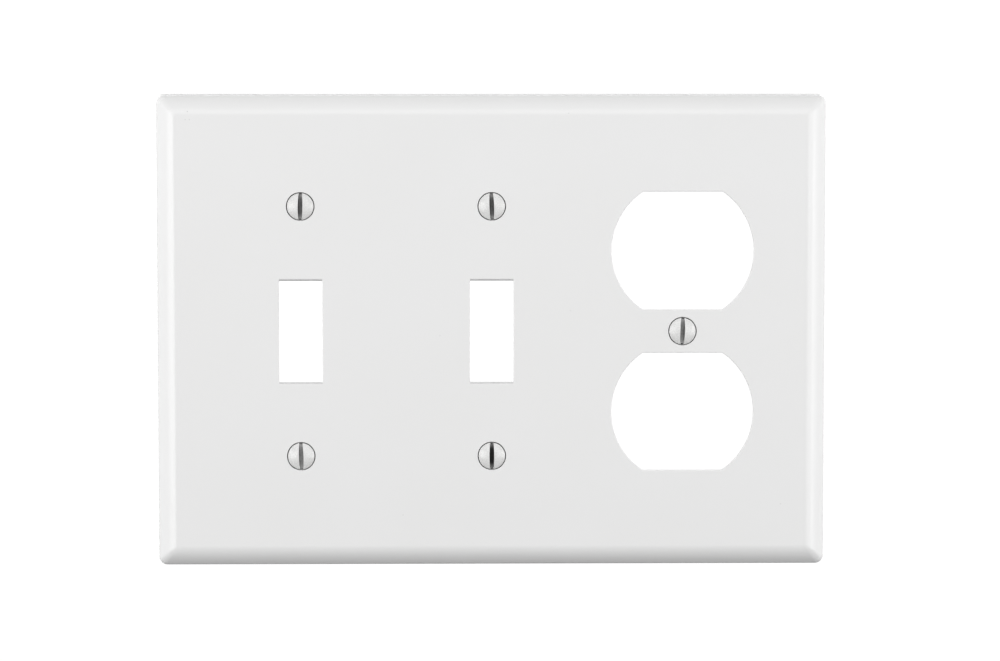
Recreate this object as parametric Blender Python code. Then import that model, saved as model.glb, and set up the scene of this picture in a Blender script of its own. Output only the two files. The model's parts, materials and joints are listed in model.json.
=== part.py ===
"""Three-gang combination wall plate with its five slotted screws.

The plate covers three wiring devices side by side: two toggle switches and one
duplex outlet. Each screw passes through a countersunk hole in the plate.

Frame: metres, +Z up, the plate upright as it is mounted. The wall is the plane
y = 0, the plate's front faces -Y, and the origin is the plate's centre on the wall.
"""

import math

import bmesh
import bpy
from mathutils import Vector

MM = 0.001
OVERCUT = 1.0 * MM          # how far a cutter runs past the surface it opens
EMBED = 0.5 * MM            # how far a raised feature is sunk into the wall that carries it
MERGE = 1e-7                # vertices closer than this are the same point

# Plate: outline, depth, the side wall and the curved rim between it and the face.
PLATE_WIDTH = 161.925 * MM
PLATE_HEIGHT = 114.3 * MM
PLATE_DEPTH = 5.6 * MM
SIDE_HEIGHT = 2.5 * MM      # the side wall stands this far off the wall
SIDE_DRAFT = 0.3 * MM       # and leans in by this much
RIM_RUN = 4.9 * MM          # width of the curved rim, seen from the front
OUTLINE_RADIUS = 2.0 * MM   # corner radius at the wall
FACE_RADIUS = 0.4 * MM      # corner radius of the flat face
RIM_STEPS = 8
CORNER_STEPS = 5

# Hollow behind the face.
FACE_THICKNESS = 2.3 * MM
EDGE_WALL = 2.0 * MM        # wall thickness of the rim where it meets the wall
EDGE_DRAFT = 0.6 * MM       # extra thickness of that wall at the hollow's floor
HOLLOW_RADIUS = 0.8 * MM

# Gang positions and the openings of the devices.
GANG_PITCH = 46.04 * MM
TOGGLE_GANGS = (-GANG_PITCH, 0.0)
OUTLET_GANG = GANG_PITCH
TOGGLE_OPENING_WIDTH = 10.5 * MM
TOGGLE_OPENING_HEIGHT = 24.5 * MM
TOGGLE_END_BEVEL = 0.36 * MM  # the upper and lower edges are bevelled by this much at the face
TOGGLE_BEVEL_DEPTH = 0.6 * MM
TOGGLE_CORNER_RADIUS = 0.3 * MM
OUTLET_OPENING_RADIUS = 17.15 * MM
OUTLET_OPENING_HEIGHT = 28.45 * MM
OUTLET_SPACING = 38.9 * MM
OUTLET_EDGE_DEPTH = 0.6 * MM  # depth of the upright part of an outlet window's wall
OUTLET_ARC_STEPS = 16
WINDOW_DRAFT = 0.2 * MM     # behind its narrowest line a window's wall leans out by this much

# Raised features on the hollow's floor.
BOSS_RADIUS = 3.9 * MM
BOSS_CLEARANCE = 0.4 * MM   # the bosses stop this far short of the wall
BOSS_STEPS = 24
RIB_WIDTH = 1.2 * MM
RIB_HEIGHT = 1.2 * MM
RIB_LEVEL = 44.0 * MM       # height of the two level ribs above and below the centre
RIB_END_GAP = 2.5 * MM      # gap between a rib's end and what it points at

# Screws: No. 6-32 by 1/2 in, oval head, slotted.
SWITCH_SCREW_SPACING = 60.33 * MM
SCREW_LENGTH = 12.7 * MM
HEAD_RADIUS = 3.15 * MM
HEAD_DOME = 1.0 * MM
HEAD_CONE_ANGLE = math.radians(82.0)
SLOT_WIDTH = 1.2 * MM
SLOT_DEPTH = 1.5 * MM
THREAD_RADIUS = 1.75 * MM
ROOT_RADIUS = 1.32 * MM
THREAD_PITCH = 25.4 / 32 * MM
NECK_LENGTH = 0.5 * MM
TIP_CHAMFER = 0.4 * MM
SCREW_STEPS = 20
DOME_STEPS = 4

# Countersunk holes in the plate, clear of the screws all round.
HEAD_GAP = 0.3 * MM
HOLE_RADIUS = 2.1 * MM
HOLE_STEPS = 32

# Levels along Y.
WALL_Y = 0.0
FACE_Y = -PLATE_DEPTH
FLOOR_Y = FACE_Y + FACE_THICKNESS
CONE_SLOPE = math.tan(HEAD_CONE_ANGLE / 2.0)

PLATE_COLOR = (0.80, 0.80, 0.79, 1.0)
SCREW_COLOR = (0.82, 0.82, 0.81, 1.0)


# ---------------------------------------------------------------- mesh helpers

def clear_scene():
    """Remove every object, so that the script starts from nothing."""
    for item in list(bpy.data.objects):
        bpy.data.objects.remove(item, do_unlink=True)


def make_material(name, color, roughness, metallic=0.0):
    """A Principled material."""
    material = bpy.data.materials.new(name)
    material.use_nodes = True
    shader = material.node_tree.nodes["Principled BSDF"]
    shader.inputs["Base Color"].default_value = color
    shader.inputs["Roughness"].default_value = roughness
    shader.inputs["Metallic"].default_value = metallic
    return material


def mesh_from(name, build):
    """A mesh filled by build(bm), with merged vertices and outward faces."""
    bm = bmesh.new()
    build(bm)
    bmesh.ops.remove_doubles(bm, verts=bm.verts, dist=MERGE)
    bmesh.ops.dissolve_degenerate(bm, edges=bm.edges, dist=MERGE)
    bmesh.ops.recalc_face_normals(bm, faces=bm.faces)
    mesh = bpy.data.meshes.new(name)
    bm.to_mesh(mesh)
    bm.free()
    return mesh


def add_object(name, mesh, location=(0.0, 0.0, 0.0)):
    """Put a mesh into the scene."""
    item = bpy.data.objects.new(name, mesh)
    item.location = location
    bpy.context.collection.objects.link(item)
    return item


def skin_rings(bm, rings):
    """Add the surface through rings of equally many points, open at both ends."""
    loops = [[bm.verts.new(point) for point in ring] for ring in rings]
    for near, far in zip(loops, loops[1:]):
        for index in range(len(near)):
            after = (index + 1) % len(near)
            bm.faces.new((near[index], near[after], far[after], far[index]))
    return loops


def loft(rings):
    """A builder of the solid that runs through rings of equally many points."""
    def build(bm):
        loops = skin_rings(bm, rings)
        bm.faces.new(list(reversed(loops[0])))
        bm.faces.new(loops[-1])
    return build


def turned(stations, steps, centre=(0.0, 0.0)):
    """Rings of a body turned about the Y axis through centre = (x, z).

    stations are (radius, y) pairs from one end to the other.
    """
    rings = []
    for radius, y in stations:
        ring = []
        for index in range(steps):
            angle = math.tau * index / steps
            x = centre[0] + radius * math.cos(angle)
            z = centre[1] + radius * math.sin(angle)
            ring.append(Vector((x, y, z)))
        rings.append(ring)
    return rings


def rounded_rectangle(half_width, half_height, radius, y, centre=(0.0, 0.0)):
    """The points of a rectangle with arcs at its corners, in the plane y."""
    points = []
    for quarter in range(4):
        middle = math.radians(90.0 * quarter + 45.0)
        corner_x = math.copysign(half_width - radius, math.cos(middle))
        corner_z = math.copysign(half_height - radius, math.sin(middle))
        for step in range(CORNER_STEPS + 1):
            angle = math.radians(90.0 * (quarter + step / CORNER_STEPS))
            x = centre[0] + corner_x + radius * math.cos(angle)
            z = centre[1] + corner_z + radius * math.sin(angle)
            points.append(Vector((x, y, z)))
    return points


def flattened_circle(radius, half_height, y, centre):
    """The points of a circle cut off flat above and below, in the plane y."""
    reach = math.asin(half_height / radius)
    points = []
    for side in (0.0, math.pi):
        for step in range(OUTLET_ARC_STEPS + 1):
            angle = side + reach * (2.0 * step / OUTLET_ARC_STEPS - 1.0)
            x = centre[0] + radius * math.cos(angle)
            z = centre[1] + radius * math.sin(angle)
            points.append(Vector((x, y, z)))
    return points


def combine(target, tool_mesh, operation, location=(0.0, 0.0, 0.0)):
    """Add an exact Boolean with tool_mesh, which stays in the scene as a guide."""
    tool = add_object(tool_mesh.name, tool_mesh, location)
    tool.hide_render = True
    tool.display_type = "WIRE"
    modifier = target.modifiers.new(tool_mesh.name, "BOOLEAN")
    modifier.operation = operation
    modifier.solver = "EXACT"
    modifier.object = tool


# ---------------------------------------------------------------------- layout

def screw_places():
    """Each screw's name and its (x, z) place on the face."""
    half = SWITCH_SCREW_SPACING / 2.0
    places = []
    for number, gang_x in enumerate(TOGGLE_GANGS, start=1):
        places.append((f"toggle_{number}_upper_screw", gang_x, half))
        places.append((f"toggle_{number}_lower_screw", gang_x, -half))
    places.append(("outlet_screw", OUTLET_GANG, 0.0))
    return places


def outlet_centres():
    """The (x, z) centres of the two outlet openings."""
    half = OUTLET_SPACING / 2.0
    return [(OUTLET_GANG, half), (OUTLET_GANG, -half)]


# ----------------------------------------------------------------------- plate

def plate_block():
    """The plate's outside: a side wall, and a rim that curves from it to the flat face.

    The rim's section is a parabola, which runs into the face without a crease.
    """
    stations = [(0.0, WALL_Y)]
    for step in range(RIM_STEPS + 1):
        from_face = 1.0 - step / RIM_STEPS
        inset = SIDE_DRAFT + RIM_RUN * (1.0 - from_face)
        stations.append((inset, FACE_Y + (PLATE_DEPTH - SIDE_HEIGHT) * from_face ** 2))
    rings = []
    for inset, y in stations:
        share = inset / (SIDE_DRAFT + RIM_RUN)
        radius = OUTLINE_RADIUS + (FACE_RADIUS - OUTLINE_RADIUS) * share
        half_width = PLATE_WIDTH / 2.0 - inset
        half_height = PLATE_HEIGHT / 2.0 - inset
        rings.append(rounded_rectangle(half_width, half_height, radius, y))
    return mesh_from("face_plate", loft(rings))


def hollow_cutter():
    """The space behind the face, drafted so that it widens towards the wall."""
    slope = EDGE_DRAFT / (WALL_Y - FLOOR_Y)
    rings = []
    for y in (WALL_Y + OVERCUT, FLOOR_Y):
        inset = EDGE_WALL + slope * (WALL_Y - y)
        half_width = PLATE_WIDTH / 2.0 - inset
        half_height = PLATE_HEIGHT / 2.0 - inset
        rings.append(rounded_rectangle(half_width, half_height, HOLLOW_RADIUS, y))
    return mesh_from("hollow_cutter", loft(rings))


def back_draft(narrowest_depth):
    """How far a window's wall leans out by the back end of its cutter."""
    return WINDOW_DRAFT * (1.0 + OVERCUT / (FACE_THICKNESS - narrowest_depth))


def toggle_cutter(number, gang_x):
    """The window of a toggle: bevelled above and below at the face, wider again at the back."""
    draft = back_draft(TOGGLE_BEVEL_DEPTH)
    bevel = TOGGLE_END_BEVEL * (1.0 + OVERCUT / TOGGLE_BEVEL_DEPTH)
    levels = (
        (FLOOR_Y + OVERCUT, draft, draft),
        (FACE_Y + TOGGLE_BEVEL_DEPTH, 0.0, 0.0),
        (FACE_Y - OVERCUT, 0.0, bevel),
    )
    rings = []
    for y, extra_width, extra_height in levels:
        half_width = TOGGLE_OPENING_WIDTH / 2.0 + extra_width
        half_height = TOGGLE_OPENING_HEIGHT / 2.0 + extra_height
        rings.append(rounded_rectangle(half_width, half_height, TOGGLE_CORNER_RADIUS, y, (gang_x, 0.0)))
    return mesh_from(f"toggle_{number}_cutter", loft(rings))


def outlet_cutter(name, centre):
    """The window of one outlet face, upright at the face and wider towards the back."""
    levels = (
        (FLOOR_Y + OVERCUT, back_draft(OUTLET_EDGE_DEPTH)),
        (FACE_Y + OUTLET_EDGE_DEPTH, 0.0),
        (FACE_Y - OVERCUT, 0.0),
    )
    rings = []
    for y, extra in levels:
        radius = OUTLET_OPENING_RADIUS + extra
        rings.append(flattened_circle(radius, OUTLET_OPENING_HEIGHT / 2.0 + extra, y, centre))
    return mesh_from(name, loft(rings))


def countersink_cutter(name, centre):
    """A screw's hole: the head's cone, larger by the gap, and a plain bore."""
    face_radius = HEAD_RADIUS + HEAD_GAP
    cone_depth = (face_radius - HOLE_RADIUS) / CONE_SLOPE
    stations = (
        (face_radius + CONE_SLOPE * OVERCUT, FACE_Y - OVERCUT),
        (HOLE_RADIUS, FACE_Y + cone_depth),
        (HOLE_RADIUS, WALL_Y + OVERCUT),
    )
    return mesh_from(name, loft(turned(stations, HOLE_STEPS, centre)))


def raised(name, ring_at, height):
    """A feature on the hollow's floor, of the outline that ring_at(y) gives."""
    return mesh_from(name, loft([ring_at(FLOOR_Y - EMBED), ring_at(FLOOR_Y + height)]))


def screw_boss(name, centre):
    """The round post behind a screw hole, which meets the device's strap."""
    def ring_at(y):
        return turned([(BOSS_RADIUS, y)], BOSS_STEPS, centre)[0]
    return raised(name, ring_at, -FLOOR_Y - BOSS_CLEARANCE)


def rib(name, low, high):
    """A straight rib whose footprint runs from low to high, both (x, z)."""
    half_width = (high[0] - low[0]) / 2.0
    half_height = (high[1] - low[1]) / 2.0
    centre = (low[0] + half_width, low[1] + half_height)

    def ring_at(y):
        return rounded_rectangle(half_width, half_height, RIB_WIDTH / 3.0, y, centre)
    return raised(name, ring_at, RIB_HEIGHT)


def rib_meshes():
    """Upright ribs between the gangs, and level ribs above and below the windows."""
    half_rib = RIB_WIDTH / 2.0
    side = PLATE_WIDTH / 2.0 - EDGE_WALL - EDGE_DRAFT - RIB_END_GAP
    top = PLATE_HEIGHT / 2.0 - EDGE_WALL - EDGE_DRAFT - RIB_END_GAP
    between = GANG_PITCH / 2.0
    ribs = []
    for index, x in enumerate((-between, between), start=1):
        ribs.append(rib(f"upright_rib_{index}", (x - half_rib, -top), (x + half_rib, top)))
    stretches = (
        (-side, -between - RIB_END_GAP),
        (-between + RIB_END_GAP, between - RIB_END_GAP),
        (between + RIB_END_GAP, side),
    )
    for row, z in (("upper", RIB_LEVEL), ("lower", -RIB_LEVEL)):
        for index, (start, end) in enumerate(stretches, start=1):
            ribs.append(rib(f"{row}_rib_{index}", (start, z - half_rib), (end, z + half_rib)))
    return ribs


def build_face_plate(material):
    """The moulded plate: hollowed, then stiffened, then cut through."""
    block = plate_block()
    block.materials.append(material)
    plate = add_object("face_plate", block)

    combine(plate, hollow_cutter(), "DIFFERENCE")
    for name, x, z in screw_places():
        combine(plate, screw_boss(f"{name}_boss", (x, z)), "UNION")
    for rib_mesh in rib_meshes():
        combine(plate, rib_mesh, "UNION")

    for number, gang_x in enumerate(TOGGLE_GANGS, start=1):
        combine(plate, toggle_cutter(number, gang_x), "DIFFERENCE")
    for index, (x, z) in enumerate(outlet_centres(), start=1):
        combine(plate, outlet_cutter(f"outlet_cutter_{index}", (x, z)), "DIFFERENCE")
    for name, x, z in screw_places():
        combine(plate, countersink_cutter(f"{name}_hole", (x, z)), "DIFFERENCE")
    return plate


# ---------------------------------------------------------------------- screws

def head_stations():
    """(radius, y) along the head, from the top of the dome to the end of the neck.

    y is counted from the head's rim, which lies level with the plate's face.
    """
    sphere = (HEAD_RADIUS ** 2 + HEAD_DOME ** 2) / (2.0 * HEAD_DOME)
    reach = math.asin(HEAD_RADIUS / sphere)
    stations = []
    for step in range(1, DOME_STEPS + 1):
        angle = reach * step / DOME_STEPS
        rise = sphere * (math.cos(angle) - math.cos(reach))
        stations.append((sphere * math.sin(angle), -rise))
    cone_depth = (HEAD_RADIUS - ROOT_RADIUS) / CONE_SLOPE
    stations.append((ROOT_RADIUS, cone_depth))
    stations.append((ROOT_RADIUS, cone_depth + NECK_LENGTH))
    return stations


def thread_builder(start, end):
    """A builder of the open thread surface between two levels.

    Rows of points follow the helix, by turns on a root and on a crest, and are
    pressed flat onto the root radius where they would pass either level.
    """
    turns = math.ceil((end - start) / THREAD_PITCH) + 1

    def point(row, column):
        level = start + THREAD_PITCH * (row / 2.0 - 1.0 + column / SCREW_STEPS)
        y = min(max(level, start), end)
        on_crest = row % 2 == 1 and y == level
        radius = THREAD_RADIUS if on_crest else ROOT_RADIUS
        angle = math.tau * column / SCREW_STEPS
        return Vector((radius * math.cos(angle), y, radius * math.sin(angle)))

    def build(bm):
        for row in range(2 * turns):
            for column in range(SCREW_STEPS):
                corners = (
                    point(row, column),
                    point(row, column + 1),
                    point(row + 1, column + 1),
                    point(row + 1, column),
                )
                bm.faces.new([bm.verts.new(corner) for corner in corners])
    return build


def screw_mesh():
    """A whole screw about the Y axis, with its head's rim in the plane y = 0."""
    head = head_stations()
    thread_start = head[-1][1]
    thread_end = SCREW_LENGTH - TIP_CHAMFER
    tip = ((ROOT_RADIUS, thread_end), (ROOT_RADIUS - TIP_CHAMFER, SCREW_LENGTH))

    def build(bm):
        head_loops = skin_rings(bm, turned(head, SCREW_STEPS))
        bm.faces.new(head_loops[0])
        thread_builder(thread_start, thread_end)(bm)
        tip_loops = skin_rings(bm, turned(tip, SCREW_STEPS))
        bm.faces.new(tip_loops[-1])
    return mesh_from("wall_plate_screw", build)


def slot_cutter(name):
    """The driver slot across a head, upright as the screws are set."""
    half_width = SLOT_WIDTH / 2.0
    reach = HEAD_RADIUS + OVERCUT
    floor = SLOT_DEPTH - HEAD_DOME
    rings = []
    for y in (floor, -HEAD_DOME - OVERCUT):
        ring = [
            Vector((-half_width, y, -reach)),
            Vector((half_width, y, -reach)),
            Vector((half_width, y, reach)),
            Vector((-half_width, y, reach)),
        ]
        rings.append(ring)
    return mesh_from(name, loft(rings))


def build_screws(material):
    """The five screws, each with its origin on its own axis."""
    mesh = screw_mesh()
    mesh.materials.append(material)
    mesh.shade_smooth()
    mesh.set_sharp_from_angle(angle=math.radians(35.0))
    for name, x, z in screw_places():
        place = (x, FACE_Y, z)
        screw = add_object(name, mesh, place)
        combine(screw, slot_cutter(f"{name}_slot"), "DIFFERENCE", place)


def main():
    clear_scene()
    plate_plastic = make_material("white_moulded_plastic", PLATE_COLOR, 0.35)
    screw_paint = make_material("white_painted_steel", SCREW_COLOR, 0.30)
    build_face_plate(plate_plastic)
    build_screws(screw_paint)


main()
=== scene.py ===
"""Looks of the three-gang combination wall plate and its five slotted screws.

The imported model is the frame. One fine mesh replaces the plate's solid and one
replaces each screw's solid. Everything is in metres, in the frame's axes: +Z up,
the plate's front facing -Y, the wall at y = 0.
"""

import json
import math

import bmesh
import bpy
from mathutils import Euler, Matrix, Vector


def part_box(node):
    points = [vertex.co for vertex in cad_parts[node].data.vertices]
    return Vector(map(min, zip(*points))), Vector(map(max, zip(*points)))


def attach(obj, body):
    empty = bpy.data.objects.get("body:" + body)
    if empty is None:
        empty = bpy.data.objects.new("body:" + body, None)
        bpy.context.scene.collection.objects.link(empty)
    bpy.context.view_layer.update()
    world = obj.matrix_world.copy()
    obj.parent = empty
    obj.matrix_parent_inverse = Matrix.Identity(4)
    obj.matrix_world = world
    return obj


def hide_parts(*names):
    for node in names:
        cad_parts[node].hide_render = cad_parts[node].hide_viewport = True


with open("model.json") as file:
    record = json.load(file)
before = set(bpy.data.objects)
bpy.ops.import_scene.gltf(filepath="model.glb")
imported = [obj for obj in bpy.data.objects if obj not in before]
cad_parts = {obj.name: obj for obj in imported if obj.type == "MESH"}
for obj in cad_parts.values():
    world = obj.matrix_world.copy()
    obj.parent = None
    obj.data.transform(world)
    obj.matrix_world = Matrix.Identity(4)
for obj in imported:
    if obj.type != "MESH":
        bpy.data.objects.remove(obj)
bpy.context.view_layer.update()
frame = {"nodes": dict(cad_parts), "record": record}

MM = 0.001
MERGE = 1e-7

# ------------------------------------------------------- places from the frame

PLATE_LOW, PLATE_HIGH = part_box("face_plate")
HALF_WIDTH = (PLATE_HIGH.x - PLATE_LOW.x) / 2.0
HALF_HEIGHT = (PLATE_HIGH.z - PLATE_LOW.z) / 2.0
WALL_Y = PLATE_HIGH.y
FACE_Y = PLATE_LOW.y
SCREW_NODES = sorted(name for name in frame["nodes"] if name.endswith("_screw"))
OPENINGS = {item["name"]: item["box_m"] for item in frame["record"]["physics"]["openings"]}


def middle_of(low, high):
    """The (x, z) centre of a box seen from the front."""
    return ((low[0] + high[0]) / 2.0, (low[2] + high[2]) / 2.0)


SCREW_PLACES = {name: middle_of(*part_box(name)) for name in SCREW_NODES}
TOGGLE_PLACES = [middle_of(*OPENINGS[f"toggle_{number}_window"]) for number in (1, 2)]
OUTLET_PLACES = [middle_of(*OPENINGS[f"{row}_outlet_window_tall"]) for row in ("upper", "lower")]

# ----------------------------------------------------------------------- sizes

# Side wall, and the rim that curves from it to the flat face.
SIDE_HEIGHT = 2.5 * MM
SIDE_DRAFT = 0.3 * MM
RIM_RUN = 4.9 * MM
RIM_INSET = SIDE_DRAFT + RIM_RUN
SHOULDER = 0.25 * MM        # rounding between the rim and the side wall
OUTLINE_RADIUS = 2.0 * MM
FACE_RADIUS = 0.4 * MM
RIM_STEPS = 28

# Hollow behind the face, and what stands on its floor.
FACE_THICKNESS = 2.3 * MM
FLOOR_Y = FACE_Y + FACE_THICKNESS
EDGE_WALL = 2.0 * MM
EDGE_DRAFT = 0.6 * MM
HOLLOW_RADIUS = 0.8 * MM
BOSS_RADIUS = 3.9 * MM
BOSS_Y = WALL_Y - 0.4 * MM
RIB_WIDTH = 1.2 * MM
RIB_CORNER_RADIUS = RIB_WIDTH / 3.0
RIB_Y = FLOOR_Y + 1.2 * MM
RIB_LEVEL = 44.0 * MM
RIB_END_GAP = 2.5 * MM
EJECTOR_RADIUS = 2.0 * MM
EJECTOR_Y = FLOOR_Y + 0.06 * MM
EJECTOR_EDGE = 0.03 * MM
EJECTOR_ACROSS = 16.0 * MM  # from the middle of the gang to each side
EJECTOR_LEVEL = 38.0 * MM   # above and below the plate's middle

# Windows.
TOGGLE_HALF_WIDTH = 5.25 * MM
TOGGLE_HALF_HEIGHT = 12.25 * MM
TOGGLE_BEVEL = 0.36 * MM     # each end of a toggle's window is bevelled at the face
TOGGLE_THROAT = 0.6 * MM     # depth of the bevel, and of the window's narrowest line
TOGGLE_CORNER_RADIUS = 0.25 * MM
OUTLET_RADIUS = 17.15 * MM
OUTLET_HALF_HEIGHT = 14.225 * MM
OUTLET_THROAT = 0.6 * MM
OUTLET_CORNER_RADIUS = 0.4 * MM
WINDOW_DRAFT = 0.2 * MM      # from the narrowest line to the back the walls lean out

# Edge roundings.
FRONT_EDGE = 0.16 * MM
BACK_EDGE = 0.15 * MM
ROOT_FILLET = 0.35 * MM
FLAT_MARGIN = 0.05 * MM     # a narrow flat strip that keeps the shading of wide flats true
EDGE_STEPS = 4
CORNER_STEPS = 10
CIRCLE_STEPS = 64
EJECTOR_STEPS = 32
OUTLET_ARC_STEPS = 56
OUTLET_CORNER_STEPS = 5
SHARP_DEGREES = 40.0        # edges sharper than this are not shaded smooth

# Screws and their holes.
HEAD_RADIUS = 3.2 * MM
HEAD_DOME = 0.95 * MM
RIM_ROUND = 0.08 * MM
CONE_SLOPE = math.tan(math.radians(41.0))
SEAT_RADIUS = 3.43 * MM     # the countersink at the face
SEAT_EDGE = 0.06 * MM
SEAT_LAND = 0.7 * MM        # depth of its upright part
SEAT_DEPTH = 2.0 * MM
HOLE_RADIUS = 2.0 * MM
SLOT_FLOOR = 0.47 * MM      # below the head's rim
SLOT_FLOOR_HALF = 0.34 * MM
SLOT_LEAN = 0.16            # each wall of the slot leans out by this much of its height
SCREW_LENGTH = 12.7 * MM
THREAD_RADIUS = 1.75 * MM
ROOT_RADIUS = 1.32 * MM
THREAD_PITCH = 25.4 / 32 * MM
NECK_LENGTH = 0.5 * MM
TIP_CHAMFER = 0.4 * MM
SCREW_STEPS = 48
SCREW_SHARP_DEGREES = 38.0
DOME_STEPS = 16
RIM_ROUND_STEPS = 4
THREAD_ROWS = 8             # rows of faces to each turn of the thread
THREAD_ROOT_SHARE = 0.15    # share of the pitch that is flat at the thread's root
THREAD_FLANK_SHARE = 0.7    # and the share that its two sloping sides take
WALL_STEPS = 6
SLOT_SECTIONS = 48
SLOT_OVERRUN = 0.6 * MM     # how far the cutter runs past the head on each side
SLOT_HEADROOM = 1.0 * MM    # and past the top of the dome
SLOT_FLOOR_SHARES = (0.2, 0.4, 0.6)    # points across the floor, as shares of its half width
SLOT_ROOT = 0.08 * MM
ROOT_MIDDLE = 0.3           # the middle of the root's curve, as a share of its size
SLOT_MOUTH = 0.12 * MM
MOUTH_CURVE = ((0.10, 0.45), (0.40, 0.12), (1.0, -0.25))    # out and down, as shares of its size
BARE_HALF = 0.58 * MM       # the driver wears the paint off a straight strip along the slot; its dark steel is partly painted shade of the slot's depth
BARE_REACH = 3.1 * MM
BARE_SOFTNESS = 0.10 * MM
BARE_SQUARENESS = 6         # the higher, the straighter the strip's sides and the squarer its ends
END_START = 1.7 * MM        # from here out to the slot's ends the slot is painted lighter: partly paint left, partly painted light where the slot is shallow
END_RUN = 0.8 * MM
END_PAINT = 0.3
# name of the slot's mask of dark steel: bare steel worn by the driver, and painted shade deep in
# the slot
WEAR_AND_SHADE = "wear_and_shade"
SILL_SLOPE = 0.3            # faces that look up by at least this much get the sill's painted shade
PAINT_END = 0.2 * MM        # the paint reaches this far below the head's rim

# How far each screw's slot stands off upright, clockwise seen from the front, in degrees.
SLOT_TURNS = {
    "toggle_1_upper_screw": 0.8,
    "toggle_1_lower_screw": -1.7,
    "toggle_2_upper_screw": -2.0,
    "toggle_2_lower_screw": -0.1,
    "outlet_screw": 1.8,
}

# How pale the dark steel in each screw's slot is; it stands partly for bare steel and partly for
# painted shade deep in the slot.
SLOT_SHADES = {
    "toggle_1_upper_screw": 0.17,
    "toggle_1_lower_screw": 0.33,
    "toggle_2_upper_screw": 0.14,
    "toggle_2_lower_screw": 0.03,
    "outlet_screw": 0.27,
}
SLOT_PALER = 1.5            # the rubbed patches of a slot are this many times as pale

# The part of a noise's range that is spread over a range of values.
NOISE_LOW = 0.3
NOISE_HIGH = 0.7

CHIP_STRENGTH = 0.5         # how much of the chips' grey shows through the enamel
SLOT_METALLIC = 0.6         # how metallic the bare steel of a slot is
MIX_FIRST, MIX_SECOND = 6, 7    # the two colour inputs of a Mix node
MIX_RESULT = 2                  # and its colour output

# ---------------------------------------------------------------------- colours

PLATE_WHITE = (0.82, 0.82, 0.82)
PLATE_WHITE_WARM = (0.812, 0.811, 0.808)
CORE_WHITE = (0.79, 0.79, 0.78)
DUST_GREY = (0.42, 0.42, 0.42)
# grey painted into the screw holes as the shade of the gap round each head
SEAT_SHADE_GREY = (0.52, 0.52, 0.52)
SEAT_SHADE_GREY_DARK = (0.30, 0.30, 0.30)
PAINT_WHITE = (0.83, 0.83, 0.82)
PAINT_WHITE_DULL = (0.67, 0.67, 0.665)
CHIP_GREY = (0.35, 0.35, 0.35)
ZINC = (0.62, 0.62, 0.61)
ZINC_DARK = (0.50, 0.50, 0.50)
# greys painted on the lower edges of the toggle windows as shade
SILL_SHADE_GREY = (0.70, 0.70, 0.70)
SILL_SHADE_GREY_DARK = (0.64, 0.64, 0.64)

# ------------------------------------------------------------- camera and light

SENSOR_WIDTH = 36.0         # this and the lens in millimetres, as Blender's cameras take them
CAMERA_LENS = 117.72
CAMERA_TARGET = Vector((2.07 * MM, 0.0, -0.17 * MM))
CAMERA_DISTANCE = 794.3 * MM
CAMERA_AZIMUTH = -0.936
CAMERA_ELEVATION = 4.0
CAMERA_ROLL = -0.015
CLIP_START = 0.01
CLIP_END = 50.0

BACKDROP = 1.05
SKY_LOW = 0.15
SKY_HIGH = 0.6
HORIZON_HALF = 0.1          # the sky changes from low to high over this much either side of level
FLOOR_LEVEL = -0.30
FLOOR_HALF_SIZE = 4.0

# Grains of dust on the face, to the nearest half millimetre: x, z, radius, darkness.
DUST = (
    (-73.0 * MM, 53.0 * MM, 0.2 * MM, 0.5),
    (-73.5 * MM, 51.0 * MM, 0.15 * MM, 0.3),
    (-72.5 * MM, 51.0 * MM, 0.15 * MM, 0.3),
    (18.5 * MM, 52.5 * MM, 0.15 * MM, 0.25),
    (-12.5 * MM, -1.0 * MM, 0.15 * MM, 0.25),
    (70.0 * MM, -42.0 * MM, 0.15 * MM, 0.25),
    (19.0 * MM, 5.0 * MM, 0.15 * MM, 0.25),
    (-21.5 * MM, -44.5 * MM, 0.15 * MM, 0.25),
)

# name, distance in metres, then azimuth, elevation, width and height in degrees as the
# plate sees them, then brightness
SOFTBOXES = (
    ("left_softbox", 0.8, -41.0, 0.0, 26.0, 32.0, 3.5),
    ("left_outer_strip", 0.8, -60.0, 0.0, 12.0, 32.0, 2.8),
    ("left_side_fill", 0.8, -90.0, 0.0, 48.0, 60.0, 1.1),
    ("right_softbox", 0.8, 60.0, 0.0, 12.0, 32.0, 4.0),
    ("right_middle_strip", 0.8, 46.5, 0.0, 15.0, 32.0, 2.0),
    ("right_inner_strip", 0.8, 31.5, 0.0, 15.0, 32.0, 2.2),
    ("right_outer_strip", 0.8, 72.0, 0.0, 12.0, 32.0, 2.2),
    ("right_side_fill", 0.8, 98.0, 0.0, 40.0, 60.0, 1.1),
    ("front_fill", 0.8, 0.0, 0.0, 36.0, 32.0, 0.3),
    ("upper_front_fill", 0.5, 0.0, 32.0, 60.0, 30.0, 1.0),
    ("rear_top_softbox", 0.8, 180.0, 35.0, 60.0, 30.0, 1.5),
    ("rear_left_softbox", 0.8, -150.0, 0.0, 30.0, 60.0, 1.1),
    ("rear_right_softbox", 0.8, 150.0, 0.0, 30.0, 60.0, 1.1),
)

# ------------------------------------------------------------------- outlines

def rounded_rectangle(centre, half_width, half_height, radius, y):
    """The points of a rectangle with arcs at its corners, in the plane y."""
    points = []
    for quarter in range(4):
        middle = math.radians(90.0 * quarter + 45.0)
        corner_x = math.copysign(half_width - radius, math.cos(middle))
        corner_z = math.copysign(half_height - radius, math.sin(middle))
        for step in range(CORNER_STEPS + 1):
            angle = math.radians(90.0 * (quarter + step / CORNER_STEPS))
            x = centre[0] + corner_x + radius * math.cos(angle)
            z = centre[1] + corner_z + radius * math.sin(angle)
            points.append(Vector((x, y, z)))
    return points


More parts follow.
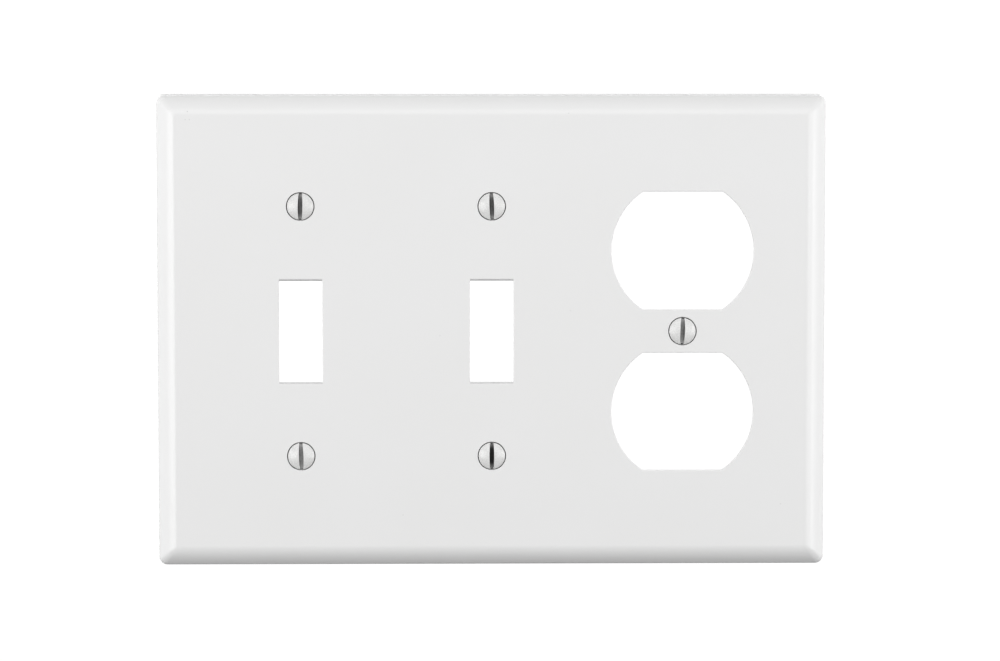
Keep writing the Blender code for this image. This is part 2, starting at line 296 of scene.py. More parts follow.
def circle(centre, radius, y, steps=CIRCLE_STEPS):
    """The points of a circle in the plane y."""
    points = []
    for step in range(steps):
        angle = math.tau * step / steps
        x = centre[0] + radius * math.cos(angle)
        z = centre[1] + radius * math.sin(angle)
        points.append(Vector((x, y, z)))
    return points


def arc_angles(start, end, steps):
    """Evenly spread angles from start to end, both ends included."""
    return [start + (end - start) * step / steps for step in range(steps + 1)]


def flattened_circle(centre, radius, half_height, corner, y):
    """A circle cut off flat above and below, its four corners rounded, in the plane y."""
    corner_z = half_height - corner
    corner_x = math.sqrt((radius - corner) ** 2 - corner_z ** 2)
    reach = math.atan2(corner_z, corner_x)
    half = []
    for angle in arc_angles(-math.pi / 2.0, -reach, OUTLET_CORNER_STEPS):
        half.append((corner_x + corner * math.cos(angle), -corner_z + corner * math.sin(angle)))
    for angle in arc_angles(-reach, reach, OUTLET_ARC_STEPS)[1:-1]:
        half.append((radius * math.cos(angle), radius * math.sin(angle)))
    for angle in arc_angles(reach, math.pi / 2.0, OUTLET_CORNER_STEPS):
        half.append((corner_x + corner * math.cos(angle), corner_z + corner * math.sin(angle)))
    whole = half + [(-x, -z) for x, z in half]
    return [Vector((centre[0] + x, y, centre[1] + z)) for x, z in whole]


# ---------------------------------------------------------- profile of an edge

def turn(start, corner, end):
    """Points of a round edge from start to end, each an (offset, y).

    The edge leaves start and reaches end in the direction of the corner.
    """
    points = []
    for step in range(EDGE_STEPS + 1):
        angle = math.pi / 2.0 * step / EDGE_STEPS
        along = math.sin(angle)
        across = 1.0 - math.cos(angle)
        offset = start[0] + (corner[0] - start[0]) * along + (end[0] - corner[0]) * across
        y = start[1] + (corner[1] - start[1]) * along + (end[1] - corner[1]) * across
        points.append((offset, y))
    return points


def front_edge_path(offset=0.0, edge=FRONT_EDGE):
    """The face's edge at a cut-out, from the flat into the cut."""
    path = [(offset + edge + FLAT_MARGIN, FACE_Y)]
    path += turn((offset + edge, FACE_Y), (offset, FACE_Y), (offset, FACE_Y + edge))
    return path


def window_path(throat):
    """A window's walls from the face to the floor, narrowest at the throat's depth."""
    path = front_edge_path()
    path.append((0.0, FACE_Y + throat))
    corner = (WINDOW_DRAFT, FLOOR_Y)
    path += turn((WINDOW_DRAFT, FLOOR_Y - BACK_EDGE), corner, (WINDOW_DRAFT + BACK_EDGE, FLOOR_Y))
    path.append((WINDOW_DRAFT + BACK_EDGE + FLAT_MARGIN, FLOOR_Y))
    return path


def boss_path(inner, outer):
    """A boss on the floor: up in its hole, across its top and down its outside."""
    path = turn((inner, BOSS_Y - BACK_EDGE), (inner, BOSS_Y), (inner + BACK_EDGE, BOSS_Y))
    path += turn((outer - BACK_EDGE, BOSS_Y), (outer, BOSS_Y), (outer, BOSS_Y - BACK_EDGE))
    path += foot_path(outer)
    return path


def foot_path(outer):
    """The fillet between a feature's side and the floor, and a narrow flat strip."""
    path = turn((outer, FLOOR_Y + ROOT_FILLET), (outer, FLOOR_Y), (outer + ROOT_FILLET, FLOOR_Y))
    path.append((outer + ROOT_FILLET + FLAT_MARGIN, FLOOR_Y))
    return path


# ------------------------------------------------------------- surface builder

class Skin:
    """A closed surface put together from rings of points and flat fills."""

    def __init__(self):
        self.bm = bmesh.new()

    def sweep(self, rings):
        """Join each ring to the next, and return the first and last as vertices."""
        loops = [[self.bm.verts.new(point) for point in ring] for ring in rings]
        for near, far in zip(loops, loops[1:]):
            for index in range(len(near)):
                after = (index + 1) % len(near)
                self.bm.faces.new((near[index], near[after], far[after], far[index]))
        return loops[0], loops[-1]

    def fill(self, loops):
        """Fill a flat region: the first loop is its outline, the others are holes."""
        edges = []
        for loop in loops:
            for index, vert in enumerate(loop):
                edges.append(self.bm.edges.get((loop[index - 1], vert)))
        bmesh.ops.triangle_fill(self.bm, use_beauty=True, edges=edges, normal=(0.0, -1.0, 0.0))

    def finish(self, name, materials):
        """Turn the surface into a smooth-shaded object."""
        bmesh.ops.remove_doubles(self.bm, verts=self.bm.verts, dist=MERGE)
        bmesh.ops.recalc_face_normals(self.bm, faces=self.bm.faces)
        mesh = bpy.data.meshes.new(name)
        self.bm.to_mesh(mesh)
        self.bm.free()
        for material in materials:
            mesh.materials.append(material)
        mesh.shade_smooth()
        mesh.set_sharp_from_angle(angle=math.radians(SHARP_DEGREES))
        item = bpy.data.objects.new(name, mesh)
        bpy.context.scene.collection.objects.link(item)
        return item


# ----------------------------------------------------------------------- plate

def rim_level(from_face):
    """Level of the rim's surface, which is a parabola from the face (0) to the side wall (1)."""
    return FACE_Y + (WALL_Y - SIDE_HEIGHT - FACE_Y) * from_face ** 2


def rim_path():
    """(inset, y) from the flat face over the rim and down the side wall to the wall."""
    path = [(RIM_INSET + FLAT_MARGIN, FACE_Y)]
    reach = 1.0 - SHOULDER / RIM_RUN
    for step in range(RIM_STEPS):
        from_face = reach * step / RIM_STEPS
        path.append((RIM_INSET - RIM_RUN * from_face, rim_level(from_face)))
    corner = (SIDE_DRAFT, rim_level(1.0))
    lower = (SIDE_DRAFT * (1.0 - SHOULDER / SIDE_HEIGHT), corner[1] + SHOULDER)
    path += turn((RIM_INSET - RIM_RUN * reach, rim_level(reach)), corner, lower)
    path += turn((0.0, WALL_Y - BACK_EDGE), (0.0, WALL_Y), (BACK_EDGE, WALL_Y))
    return path


def rim_rings():
    """Rings from the flat face over the rim, round the back edge and into the hollow."""
    stations = []
    for inset, y in rim_path():
        radius = OUTLINE_RADIUS + (FACE_RADIUS - OUTLINE_RADIUS) * min(inset / RIM_INSET, 1.0)
        stations.append((inset, y, radius))
    edge = EDGE_WALL
    for inset, y in turn((edge - BACK_EDGE, WALL_Y), (edge, WALL_Y), (edge, WALL_Y - BACK_EDGE)):
        stations.append((inset, y, HOLLOW_RADIUS))
    foot = EDGE_WALL + EDGE_DRAFT
    inner = foot + ROOT_FILLET
    for inset, y in turn((foot, FLOOR_Y + ROOT_FILLET), (foot, FLOOR_Y), (inner, FLOOR_Y)):
        stations.append((inset, y, HOLLOW_RADIUS))
    stations.append((inner + FLAT_MARGIN, FLOOR_Y, HOLLOW_RADIUS))
    rings = []
    for inset, y, radius in stations:
        half_width = HALF_WIDTH - inset
        half_height = HALF_HEIGHT - inset
        rings.append(rounded_rectangle((0.0, 0.0), half_width, half_height, radius, y))
    return rings


def toggle_rings(centre):
    """Rings through a toggle's window, from the face to the floor behind it."""
    rings = []
    for offset, y in window_path(TOGGLE_THROAT):
        bevel = TOGGLE_BEVEL * max(0.0, 1.0 - (y - FACE_Y) / TOGGLE_THROAT)
        half_width = TOGGLE_HALF_WIDTH + offset
        half_height = TOGGLE_HALF_HEIGHT + bevel + offset
        radius = TOGGLE_CORNER_RADIUS + offset
        rings.append(rounded_rectangle(centre, half_width, half_height, radius, y))
    return rings


def outlet_rings(centre):
    """Rings through an outlet's window, from the face to the floor behind it."""
    rings = []
    for offset, y in window_path(OUTLET_THROAT):
        radius = OUTLET_RADIUS + offset
        half_height = OUTLET_HALF_HEIGHT + offset
        corner = OUTLET_CORNER_RADIUS + offset
        rings.append(flattened_circle(centre, radius, half_height, corner, y))
    return rings


def screw_hole_rings(centre):
    """Rings through a countersunk hole, from the face to the floor round its boss."""
    path = front_edge_path(SEAT_RADIUS, SEAT_EDGE)
    path += [(SEAT_RADIUS, FACE_Y + SEAT_LAND), (HOLE_RADIUS, FACE_Y + SEAT_DEPTH)]
    path += boss_path(HOLE_RADIUS, BOSS_RADIUS)
    return [circle(centre, radius, y) for radius, y in path]


def add_island(skin, ring_at, top_y, edge):
    """Add a solid raised feature and return the loop where it meets the floor."""
    path = [(-edge - FLAT_MARGIN, top_y)]
    path += turn((-edge, top_y), (0.0, top_y), (0.0, top_y - edge))
    if top_y - FLOOR_Y > ROOT_FILLET + edge:
        path += foot_path(0.0)
    else:
        path.append((0.0, FLOOR_Y))
        path.append((FLAT_MARGIN, FLOOR_Y))
    top, foot = skin.sweep([ring_at(offset, y) for offset, y in path])
    skin.fill([top])
    return foot


def rib_spans():
    """The (low, high) corners, as (x, z), of each rib's footprint."""
    half_rib = RIB_WIDTH / 2.0
    side = HALF_WIDTH - EDGE_WALL - EDGE_DRAFT - RIB_END_GAP
    top = HALF_HEIGHT - EDGE_WALL - EDGE_DRAFT - RIB_END_GAP
    between = (TOGGLE_PLACES[1][0] - TOGGLE_PLACES[0][0]) / 2.0
    spans = [((x - half_rib, -top), (x + half_rib, top)) for x in (-between, between)]
    stretches = (
        (-side, -between - RIB_END_GAP),
        (-between + RIB_END_GAP, between - RIB_END_GAP),
        (between + RIB_END_GAP, side),
    )
    for z in (RIB_LEVEL, -RIB_LEVEL):
        for start, end in stretches:
            spans.append(((start, z - half_rib), (end, z + half_rib)))
    return spans


def add_rib(skin, low, high):
    """Add one rib and return the loop round its foot."""
    centre = ((low[0] + high[0]) / 2.0, (low[1] + high[1]) / 2.0)
    half_width = (high[0] - low[0]) / 2.0
    half_height = (high[1] - low[1]) / 2.0

    def ring_at(offset, y):
        radius = RIB_CORNER_RADIUS + offset
        return rounded_rectangle(centre, half_width + offset, half_height + offset, radius, y)
    return add_island(skin, ring_at, RIB_Y, BACK_EDGE)


def add_ejector_mark(skin, centre):
    """Add the faint disc that an ejector pin leaves, and return the loop round it."""
    def ring_at(offset, y):
        return circle(centre, EJECTOR_RADIUS + offset, y, EJECTOR_STEPS)
    return add_island(skin, ring_at, EJECTOR_Y, EJECTOR_EDGE)


def ejector_places():
    """Ejector pins work in the corners of each gang's field, away from the windows."""
    columns = [place[0] for place in TOGGLE_PLACES] + [OUTLET_PLACES[0][0]]
    places = []
    for column in columns:
        for side in (-1.0, 1.0):
            for z in (EJECTOR_LEVEL, -EJECTOR_LEVEL):
                places.append((column + side * EJECTOR_ACROSS, z))
    return places


def in_screw_hole(point):
    """Whether a point of the plate lies on the wall of a screw's hole."""
    if not FACE_Y + SEAT_EDGE < point.y < BOSS_Y - MERGE:
        return False
    reach = SEAT_RADIUS + MERGE
    return any(math.hypot(point.x - x, point.z - z) < reach for x, z in SCREW_PLACES.values())


def on_sill(face):
    """Whether a face of the plate lies on the lower edge of a toggle's window."""
    point = face.center
    if face.normal.z < SILL_SLOPE or point.y > FACE_Y + TOGGLE_THROAT:
        return False
    for x, z in TOGGLE_PLACES:
        below = z - point.z - TOGGLE_HALF_HEIGHT
        if abs(point.x - x) < TOGGLE_HALF_WIDTH and -MERGE < below < TOGGLE_BEVEL + FRONT_EDGE:
            return True
    return False


def build_plate(materials):
    """The moulded plate as one closed surface."""
    skin = Skin()
    face_outline, floor_outline = skin.sweep(rim_rings())
    face_loops = [face_outline]
    floor_loops = [floor_outline]
    cuts = [toggle_rings(place) for place in TOGGLE_PLACES]
    cuts += [outlet_rings(place) for place in OUTLET_PLACES]
    cuts += [screw_hole_rings(SCREW_PLACES[name]) for name in SCREW_NODES]
    for rings in cuts:
        face_loop, floor_loop = skin.sweep(rings)
        face_loops.append(face_loop)
        floor_loops.append(floor_loop)
    floor_loops += [add_rib(skin, low, high) for low, high in rib_spans()]
    floor_loops += [add_ejector_mark(skin, place) for place in ejector_places()]
    skin.fill(face_loops)
    skin.fill(floor_loops)
    plate = skin.finish("wall_plate", materials)
    front, back, seat, sill = range(4)
    for face in plate.data.polygons:
        inset = min(HALF_WIDTH - abs(face.center.x), HALF_HEIGHT - abs(face.center.z))
        # the walls of the screw holes get the seat's painted shade
        if in_screw_hole(face.center):
            face.material_index = seat
        # the lower edges of the toggle windows get the sill's painted shade
        elif on_sill(face):
            face.material_index = sill
        elif face.center.y > FLOOR_Y - MERGE and inset > EDGE_WALL / 2.0:
            face.material_index = back
        else:
            face.material_index = front
    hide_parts("face_plate")
    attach(plate, "plate")


# ---------------------------------------------------------------------- screws

def dome_sphere():
    """Radius of the sphere that the head's dome is a cap of."""
    edge = HEAD_RADIUS - RIM_ROUND
    return (edge ** 2 + HEAD_DOME ** 2) / (2.0 * HEAD_DOME)


def dome_y(distance):
    """Level of the dome at a distance from the axis, with the head's rim at 0."""
    sphere = dome_sphere()
    edge = HEAD_RADIUS - RIM_ROUND
    reach = min(distance, edge)
    return math.sqrt(sphere ** 2 - edge ** 2) - math.sqrt(sphere ** 2 - reach ** 2)


def head_rings():
    """Rings from the middle of the dome, over the head's rim and down to the neck's end."""
    edge = HEAD_RADIUS - RIM_ROUND
    path = []
    for step in range(1, DOME_STEPS + 1):
        distance = edge * math.sin(math.pi / 2.0 * step / DOME_STEPS)
        path.append((distance, dome_y(distance)))
    for step in range(1, RIM_ROUND_STEPS + 1):
        angle = math.pi / 2.0 * step / RIM_ROUND_STEPS
        path.append((edge + RIM_ROUND * math.sin(angle), RIM_ROUND * (1.0 - math.cos(angle))))
    cone_start = 2.0 * RIM_ROUND
    cone_end = cone_start + (HEAD_RADIUS - ROOT_RADIUS) / CONE_SLOPE
    path.append((HEAD_RADIUS, cone_start))
    path.append((ROOT_RADIUS, cone_end))
    path.append((ROOT_RADIUS, cone_end + NECK_LENGTH))
    return [circle((0.0, 0.0), radius, y, SCREW_STEPS) for radius, y in path]


def thread_faces(bm, start, end):
    """Add the thread between two levels as rows of faces that follow the helix."""
    turns = math.ceil((end - start) / THREAD_PITCH) + 1

    def point(row, column):
        phase = (row % THREAD_ROWS) / THREAD_ROWS
        level = start + THREAD_PITCH * (row / THREAD_ROWS - 1.0 + column / SCREW_STEPS)
        y = min(max(level, start), end)
        rise = (1.0 - abs(2.0 * phase - 1.0) - THREAD_ROOT_SHARE) / THREAD_FLANK_SHARE
        if y != level:
            rise = 0.0
        radius = ROOT_RADIUS + (THREAD_RADIUS - ROOT_RADIUS) * min(max(rise, 0.0), 1.0)
        angle = math.tau * column / SCREW_STEPS
        return Vector((radius * math.cos(angle), y, radius * math.sin(angle)))

    for row in range(THREAD_ROWS * turns):
        for column in range(SCREW_STEPS):
            corners = (
                point(row, column),
                point(row, column + 1),
                point(row + 1, column + 1),
                point(row + 1, column),
            )
            bm.faces.new([bm.verts.new(corner) for corner in corners])


def blank_screw(materials):
    """A screw before its slot is cut, about the Y axis with its head's rim at y = 0."""
    skin = Skin()
    rings = head_rings()
    skin.bm.faces.new(skin.sweep(rings)[0])
    start = rings[-1][0].y
    end = SCREW_LENGTH - TIP_CHAMFER
    thread_faces(skin.bm, start, end)
    tip_path = ((ROOT_RADIUS, end), (ROOT_RADIUS - TIP_CHAMFER, SCREW_LENGTH))
    tip_rings = [circle((0.0, 0.0), radius, y, SCREW_STEPS) for radius, y in tip_path]
    skin.bm.faces.new(skin.sweep(tip_rings)[1])
    bmesh.ops.remove_doubles(skin.bm, verts=skin.bm.verts, dist=MERGE)
    bmesh.ops.dissolve_degenerate(skin.bm, edges=skin.bm.edges, dist=MERGE)
    return skin.finish("screw_blank", materials)


def slot_half_width(y):
    """Half the slot's width at a level."""
    return SLOT_FLOOR_HALF + SLOT_LEAN * (SLOT_FLOOR - y)


def slot_section(z):
    """The slot's cross-section at one place along it, with a softly opened mouth."""
    mouth = dome_y(math.hypot(SLOT_FLOOR_HALF, z))
    half = slot_half_width(mouth)
    high = -HEAD_DOME - SLOT_HEADROOM
    ease = ROOT_MIDDLE * SLOT_ROOT
    side = [(SLOT_FLOOR_HALF * share, SLOT_FLOOR) for share in SLOT_FLOOR_SHARES]
    side.append((SLOT_FLOOR_HALF - SLOT_ROOT, SLOT_FLOOR))
    side.append((SLOT_FLOOR_HALF - ease, SLOT_FLOOR - ease))
    wall_low = SLOT_FLOOR - SLOT_ROOT
    wall_high = mouth + SLOT_MOUTH
    for step in range(WALL_STEPS + 1):
        y = wall_low + (wall_high - wall_low) * step / WALL_STEPS
        side.append((slot_half_width(y), y))
    for out, down in MOUTH_CURVE:
        side.append((half + out * SLOT_MOUTH, mouth + down * SLOT_MOUTH))
    side.append((half + SLOT_MOUTH, high))
    whole = side + [(-x, y) for x, y in reversed(side)]
    return [Vector((x, y, z)) for x, y in whole]


def slot_wear_and_shade(point):
    """How dark the slot is at a point: 0 painted, 1 dark steel, which is partly bare steel and
    partly painted shade deep in the slot.
    """
    along = min(abs(point.z) / BARE_REACH, 1.0)
    half = BARE_HALF * math.sqrt(1.0 - along ** BARE_SQUARENESS)
    bare = (half - abs(point.x)) / BARE_SOFTNESS + 0.5
    end = (abs(point.z) - END_START) / END_RUN
    return min(max(bare, 0.0), 1.0) * (1.0 - END_PAINT * min(max(end, 0.0), 1.0))


def slot_cutter():
    """The body that the slot is cut with. Its mouth follows the dome."""
    skin = Skin()
    reach = HEAD_RADIUS + SLOT_OVERRUN
    places = [reach * (2.0 * step / SLOT_SECTIONS - 1.0) for step in range(SLOT_SECTIONS + 1)]
    sections = [slot_section(z) for z in places]
    first, last = skin.sweep(sections)
    skin.bm.faces.new(first)
    skin.bm.faces.new(last)
    return skin.finish("slot_cutter", [])


def slotted_screw_mesh(materials):
    """The finished screw's mesh, with its paint, steel and slot materials in place."""
    blank = blank_screw(materials)
    cutter = slot_cutter()
    modifier = blank.modifiers.new("slot", "BOOLEAN")
    modifier.operation = "DIFFERENCE"
    modifier.solver = "EXACT"
    modifier.object = cutter
    graph = bpy.context.evaluated_depsgraph_get()
    mesh = bpy.data.meshes.new_from_object(blank.evaluated_get(graph))
    bpy.data.objects.remove(cutter, do_unlink=True)
    bpy.data.objects.remove(blank, do_unlink=True)
    paint, steel, slot = range(3)
    for face in mesh.polygons:
        centre = face.center
        if centre.y < SLOT_FLOOR + MERGE and abs(centre.x) < slot_half_width(centre.y) + MERGE:
            face.material_index = slot
        elif centre.y > PAINT_END:
            face.material_index = steel
        else:
            face.material_index = paint
    # the slot's wear and painted shade, as a value at each point
    wear_and_shade = mesh.attributes.new(WEAR_AND_SHADE, "FLOAT", "POINT")
    for vert, item in zip(mesh.vertices, wear_and_shade.data):
        item.value = slot_wear_and_shade(vert.co)
    mesh.shade_smooth()
    mesh.set_sharp_from_angle(angle=math.radians(SCREW_SHARP_DEGREES))
    return mesh


def build_screws(paint, steel):
    """Five screws, each with its own slight turn from upright and its own worn slot, darkened
    partly with painted shade.
    """
    slots = {name: slot_material(name) for name in SCREW_NODES}
    master = slotted_screw_mesh([paint, steel, slots[SCREW_NODES[0]]])
    for name in SCREW_NODES:
        x, z = SCREW_PLACES[name]
        mesh = master.copy()
        mesh.materials[2] = slots[name]
        mesh.transform(Euler((0.0, math.radians(SLOT_TURNS[name]), 0.0)).to_matrix().to_4x4())
        shift = Vector((x, FACE_Y, z))
        for vert in mesh.vertices:
            vert.co += shift
        screw = bpy.data.objects.new(f"{name}_detailed", mesh)
        bpy.context.scene.collection.objects.link(screw)
        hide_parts(name)
        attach(screw, name)


# ------------------------------------------------------------------- materials

class Recipe:
    """A Principled material and short calls for the nodes that feed it."""

    def __init__(self, name, color, roughness, metallic=0.0):
        self.material = bpy.data.materials.new(name)
        self.material.use_nodes = True
        self.nodes = self.material.node_tree.nodes
        self.links = self.material.node_tree.links
        self.shader = self.nodes["Principled BSDF"]
        self.shader.inputs["Base Color"].default_value = (*color, 1.0)
        self.shader.inputs["Roughness"].default_value = roughness
        self.shader.inputs["Metallic"].default_value = metallic
        self.coords = self.nodes.new("ShaderNodeTexCoord").outputs["Object"]

    def noise(self, size, detail):
        """Noise with features of about this size, in metres."""
        node = self.nodes.new("ShaderNodeTexNoise")
        node.inputs["Scale"].default_value = 1.0 / size
        node.inputs["Detail"].default_value = detail
        self.links.new(self.coords, node.inputs["Vector"])
        return node.outputs["Fac"]

    def specks(self, spacing, radius, share):
        """1 inside sparse round specks: one cell in every 1 / share holds one."""
        cells = self.nodes.new("ShaderNodeTexVoronoi")
        cells.inputs["Scale"].default_value = 1.0 / spacing
        self.links.new(self.coords, cells.inputs["Vector"])
        near = self.math("LESS_THAN", cells.outputs["Distance"], radius / spacing)
        split = self.nodes.new("ShaderNodeSeparateColor")
        self.links.new(cells.outputs["Color"], split.inputs["Color"])
        chosen = self.math("LESS_THAN", split.outputs["Red"], share)
        return self.math("MULTIPLY", near, chosen)

    def dust_and_shade(self, grains):
        """How dark the dust grains are at each point. A grain is (x, z, radius, darkness)."""
        total = 0.0
        for x, z, radius, darkness in grains:
            away = self.nodes.new("ShaderNodeVectorMath")
            away.operation = "DISTANCE"
            away.inputs[1].default_value = (x, FACE_Y, z)
            self.links.new(self.coords, away.inputs[0])
            inside = self.math("LESS_THAN", away.outputs["Value"], radius)
            total = self.math("ADD", total, self.math("MULTIPLY", inside, darkness))
        return total

    def math(self, operation, first, second):
        """A Math node of two inputs, each a socket or a number."""
        node = self.nodes.new("ShaderNodeMath")
        node.operation = operation
        for value, socket in zip((first, second), node.inputs):
            if isinstance(value, (int, float)):
                socket.default_value = value
            else:
                self.links.new(value, socket)
        return node.outputs["Value"]

    def spread(self, factor, low, high):
        """Map a noise factor onto a range of values."""
        node = self.nodes.new("ShaderNodeMapRange")
        node.inputs["From Min"].default_value = NOISE_LOW
        node.inputs["From Max"].default_value = NOISE_HIGH
        node.inputs["To Min"].default_value = low
        node.inputs["To Max"].default_value = high
        self.links.new(factor, node.inputs["Value"])
        return node.outputs["Result"]

    def clouds(self, size, detail, low=0.0, high=1.0):
        """Noise with features of about this size, spread over a range of values."""
        return self.spread(self.noise(size, detail), low, high)

    def mix(self, factor, first, second):
        """Mix two colours, each a socket or a colour."""
        node = self.nodes.new("ShaderNodeMix")
        node.data_type = "RGBA"
        self.links.new(factor, node.inputs["Factor"])
        for value, place in ((first, MIX_FIRST), (second, MIX_SECOND)):
            socket = node.inputs[place]
            if isinstance(value, tuple):
                socket.default_value = (*value, 1.0)
            else:
                self.links.new(value, socket)
        return node.outputs[MIX_RESULT]

    def bump(self, height, distance, normal=None):
        """A bump of this depth in metres, over another bump if one is given."""
        node = self.nodes.new("ShaderNodeBump")
        node.inputs["Strength"].default_value = 1.0
        node.inputs["Distance"].default_value = distance
        self.links.new(height, node.inputs["Height"])
        if normal is not None:
            self.links.new(normal, node.inputs["Normal"])
        return node.outputs["Normal"]

    def use(self, name, value):
        """Feed one of the shader's inputs."""
        self.links.new(value, self.shader.inputs[name])


def plate_front_material():
    """Smooth white moulded plastic: faint cloudiness, a soft ripple and a few grains of dust."""
    recipe = Recipe("white_moulded_plastic", PLATE_WHITE, roughness=0.21)
    cloud = recipe.clouds(size=28.0 * MM, detail=3.0)
    base = recipe.mix(cloud, PLATE_WHITE, PLATE_WHITE_WARM)
    recipe.use("Base Color", recipe.mix(recipe.dust_and_shade(DUST), base, DUST_GREY))
    recipe.use("Roughness", recipe.clouds(size=3.0 * MM, detail=4.0, low=0.18, high=0.24))
    ripple = recipe.bump(recipe.noise(size=2.2 * MM, detail=1.0), distance=0.006 * MM)
    grain = recipe.noise(size=0.45 * MM, detail=2.0)
    recipe.use("Normal", recipe.bump(grain, distance=0.003 * MM, normal=ripple))
    return recipe.material


def plate_back_material():
    """The plastic as the mould's rougher core side leaves it."""
    recipe = Recipe("white_plastic_core_side", PLATE_WHITE, roughness=0.5)
    cloud = recipe.clouds(size=14.0 * MM, detail=4.0)
    recipe.use("Base Color", recipe.mix(cloud, PLATE_WHITE, CORE_WHITE))
    recipe.use("Roughness", recipe.clouds(size=2.0 * MM, detail=3.0, low=0.42, high=0.58))
    recipe.use("Normal", recipe.bump(recipe.noise(size=0.4 * MM, detail=3.0), distance=0.012 * MM))
    return recipe.material


def seat_shade_material():
    """The plastic of the screw holes, grey as painted shade in the deep gap round each screw's
    head.
    """
    recipe = Recipe("seat_painted_shade", SEAT_SHADE_GREY, roughness=0.5)
    blotches = recipe.clouds(size=2.0 * MM, detail=3.0)
    recipe.use("Base Color", recipe.mix(blotches, SEAT_SHADE_GREY, SEAT_SHADE_GREY_DARK))
    recipe.use("Roughness", recipe.clouds(size=0.5 * MM, detail=2.0, low=0.4, high=0.6))
    return recipe.material


def sill_shade_material():
    """The lower edge of a toggle's window, greyed as painted shade."""
    recipe = Recipe("sill_painted_shade", SILL_SHADE_GREY, roughness=0.5)
    # clouds of painted shade on the sill
    dust_and_shade = recipe.clouds(size=1.5 * MM, detail=3.0)
    recipe.use("Base Color", recipe.mix(dust_and_shade, SILL_SHADE_GREY, SILL_SHADE_GREY_DARK))
    recipe.use("Roughness", recipe.clouds(size=0.5 * MM, detail=2.0, low=0.4, high=0.6))
    return recipe.material


def screw_paint_material():
    """White enamel with a fine grit and tiny chips that let the steel through."""
    recipe = Recipe("white_enamel", PAINT_WHITE, roughness=0.22)
    grit = recipe.noise(size=0.25 * MM, detail=2.0)
    base = recipe.mix(recipe.spread(grit, low=0.0, high=1.0), PAINT_WHITE, PAINT_WHITE_DULL)
    chips = recipe.specks(spacing=0.7 * MM, radius=0.06 * MM, share=0.2)
    showing = recipe.math("MULTIPLY", chips, CHIP_STRENGTH)
    recipe.use("Base Color", recipe.mix(showing, base, CHIP_GREY))
    recipe.use("Roughness", recipe.clouds(size=0.3 * MM, detail=2.0, low=0.18, high=0.26))
    recipe.use("Normal", recipe.bump(grit, distance=0.006 * MM))
    return recipe.material


def zinc_material():
    """Zinc-plated steel of the shank."""
    recipe = Recipe("zinc_plated_steel", ZINC, roughness=0.34, metallic=1.0)
    cloud = recipe.clouds(size=0.8 * MM, detail=3.0)
    recipe.use("Base Color", recipe.mix(cloud, ZINC, ZINC_DARK))
    recipe.use("Roughness", recipe.clouds(size=0.3 * MM, detail=2.0, low=0.28, high=0.46))
    recipe.use("Normal", recipe.bump(recipe.noise(size=0.2 * MM, detail=2.0), distance=0.004 * MM))
    return recipe.material


def slot_material(name):
    """One screw's slot: enamel that the driver has worn down to steel along its middle; the
    steel's dark grey is partly painted shade of the deep slot.
    """
    steel_dark = (SLOT_SHADES[name],) * 3
    steel_pale = (SLOT_SHADES[name] * SLOT_PALER,) * 3
    recipe = Recipe(f"worn_and_shaded_slot_{name}", steel_dark, roughness=0.45)
    worn_and_shaded = recipe.nodes.new("ShaderNodeAttribute")
    worn_and_shaded.attribute_name = WEAR_AND_SHADE
    blotches = recipe.clouds(size=0.5 * MM, detail=3.0)
    steel = recipe.mix(blotches, steel_dark, steel_pale)
    recipe.use("Base Color", recipe.mix(worn_and_shaded.outputs["Fac"], PAINT_WHITE_DULL, steel))
    recipe.use("Metallic", recipe.math("MULTIPLY", worn_and_shaded.outputs["Fac"], SLOT_METALLIC))
    recipe.use("Roughness", recipe.clouds(size=0.25 * MM, detail=2.0, low=0.35, high=0.6))
    return recipe.material


# ---------------------------------------------------- camera, light and stage

def direction(azimuth, elevation):
    """The way out from the plate to an azimuth and an elevation, in degrees from its front."""
    azimuth = math.radians(azimuth)
    elevation = math.radians(elevation)
    return Vector((
        math.sin(azimuth) * math.cos(elevation),
        -math.cos(azimuth) * math.cos(elevation),
        math.sin(elevation),
    ))


def add_camera():
    """A long lens almost square on to the plate, a little above its middle."""
    data = bpy.data.cameras.new("camera")
    data.sensor_width = SENSOR_WIDTH
    data.lens = CAMERA_LENS
    data.clip_start = CLIP_START
    data.clip_end = CLIP_END
    camera = bpy.data.objects.new("camera", data)
    bpy.context.scene.collection.objects.link(camera)
    back = direction(CAMERA_AZIMUTH, CAMERA_ELEVATION)
    aim = (-back).to_track_quat("-Z", "Y")
    roll = Euler((0.0, 0.0, math.radians(CAMERA_ROLL))).to_quaternion()
    camera.location = CAMERA_TARGET + back * CAMERA_DISTANCE
    camera.rotation_mode = "QUATERNION"
    camera.rotation_quaternion = aim @ roll
    bpy.context.scene.camera = camera


def add_softbox(name, distance, azimuth, elevation, wide, high, brightness):
    """A rectangular light aimed at the plate's middle."""
    width = 2.0 * distance * math.tan(math.radians(wide / 2.0))
    height = 2.0 * distance * math.tan(math.radians(high / 2.0))
    data = bpy.data.lights.new(name, "AREA")
    data.shape = "RECTANGLE"
    data.size = width
    data.size_y = height
    data.energy = brightness * math.pi * width * height
    light = bpy.data.objects.new(name, data)
    bpy.context.scene.collection.objects.link(light)
    outward = direction(azimuth, elevation)
    light.location = outward * distance
    light.rotation_mode = "QUATERNION"
    light.rotation_quaternion = (-outward).to_track_quat("-Z", "Y")
    light.visible_camera = False


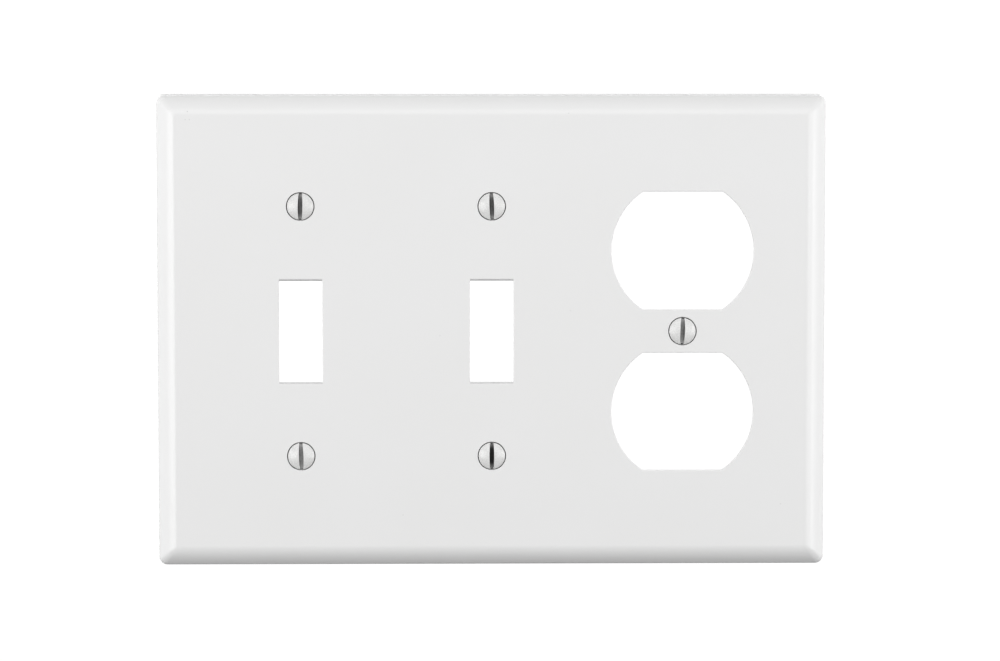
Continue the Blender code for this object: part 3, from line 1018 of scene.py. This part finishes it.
def add_world():
    """White behind everything for the camera, and a soft sky for the light."""
    world = bpy.data.worlds.new("studio")
    bpy.context.scene.world = world
    world.use_nodes = True
    nodes = world.node_tree.nodes
    links = world.node_tree.links
    nodes.clear()
    output = nodes.new("ShaderNodeOutputWorld")
    chooser = nodes.new("ShaderNodeMixShader")
    path = nodes.new("ShaderNodeLightPath")
    seen = nodes.new("ShaderNodeBackground")
    sky = nodes.new("ShaderNodeBackground")
    seen.inputs["Color"].default_value = (1.0, 1.0, 1.0, 1.0)
    seen.inputs["Strength"].default_value = BACKDROP
    coords = nodes.new("ShaderNodeTexCoord")
    split = nodes.new("ShaderNodeSeparateXYZ")
    height = nodes.new("ShaderNodeMapRange")
    height.inputs["From Min"].default_value = -HORIZON_HALF
    height.inputs["From Max"].default_value = HORIZON_HALF
    height.inputs["To Min"].default_value = SKY_LOW
    height.inputs["To Max"].default_value = SKY_HIGH
    links.new(coords.outputs["Generated"], split.inputs["Vector"])
    links.new(split.outputs["Z"], height.inputs["Value"])
    links.new(height.outputs["Result"], sky.inputs["Strength"])
    links.new(path.outputs["Is Camera Ray"], chooser.inputs["Fac"])
    links.new(sky.outputs["Background"], chooser.inputs[1])
    links.new(seen.outputs["Background"], chooser.inputs[2])
    links.new(chooser.outputs["Shader"], output.inputs["Surface"])


def add_floor():
    """A glowing white sheet below the plate, seen by the camera from above only.

    It takes no shadow and lights nothing.
    """
    mesh = bpy.data.meshes.new("floor")
    skin = bmesh.new()
    bmesh.ops.create_grid(skin, x_segments=1, y_segments=1, size=FLOOR_HALF_SIZE)
    skin.to_mesh(mesh)
    skin.free()
    floor = bpy.data.objects.new("floor", mesh)
    floor.location.z = FLOOR_LEVEL
    bpy.context.scene.collection.objects.link(floor)
    material = bpy.data.materials.new("studio_floor")
    material.use_nodes = True
    material.cycles.emission_sampling = "NONE"
    nodes = material.node_tree.nodes
    links = material.node_tree.links
    nodes.clear()
    output = nodes.new("ShaderNodeOutputMaterial")
    glow = nodes.new("ShaderNodeEmission")
    glow.inputs["Strength"].default_value = BACKDROP
    clear = nodes.new("ShaderNodeBsdfTransparent")
    side = nodes.new("ShaderNodeNewGeometry")
    chooser = nodes.new("ShaderNodeMixShader")
    links.new(side.outputs["Backfacing"], chooser.inputs["Fac"])
    links.new(glow.outputs["Emission"], chooser.inputs[1])
    links.new(clear.outputs["BSDF"], chooser.inputs[2])
    links.new(chooser.outputs["Shader"], output.inputs["Surface"])
    mesh.materials.append(material)
    floor.visible_diffuse = False
    floor.visible_glossy = False
    floor.visible_shadow = False


def main():
    add_camera()
    build_plate([plate_front_material(), plate_back_material(), seat_shade_material(), sill_shade_material()])
    build_screws(screw_paint_material(), zinc_material())
    add_floor()
    add_world()
    for softbox in SOFTBOXES:
        add_softbox(*softbox)
    bpy.context.scene.view_settings.view_transform = "Standard"


main()
